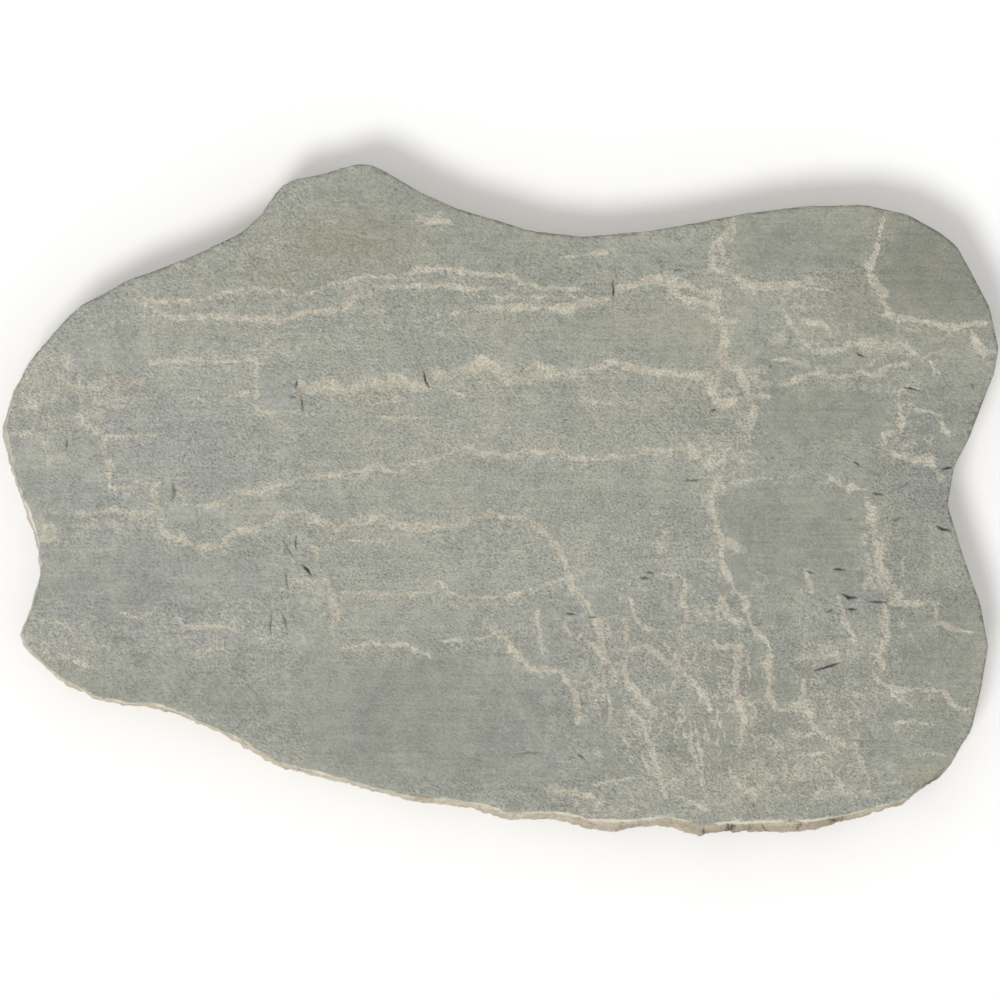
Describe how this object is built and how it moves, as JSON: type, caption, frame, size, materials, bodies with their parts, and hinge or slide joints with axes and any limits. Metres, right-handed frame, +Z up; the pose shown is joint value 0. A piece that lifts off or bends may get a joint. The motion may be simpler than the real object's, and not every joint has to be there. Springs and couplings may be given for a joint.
{
  "type": "garden stepping stone",
  "caption": "Flat slab of riven sandstone with stepped cleft beds on top and a rough pitched edge, laid level in a garden to walk on.",
  "frame": {"origin": "middle of the bed face, on the ground plane", "axes": "+X along the length, +Y towards the far edge with the peak, +Z up out of the cleft face"},
  "size_m": [0.4572, 0.308, 0.032],
  "materials": {
    "sandstone": "matte riven grey-green sandstone with cream split faces"
  },
  "bodies": {
    "root": {"stepping_stone": "sandstone"}
  },
  "joints": []
}
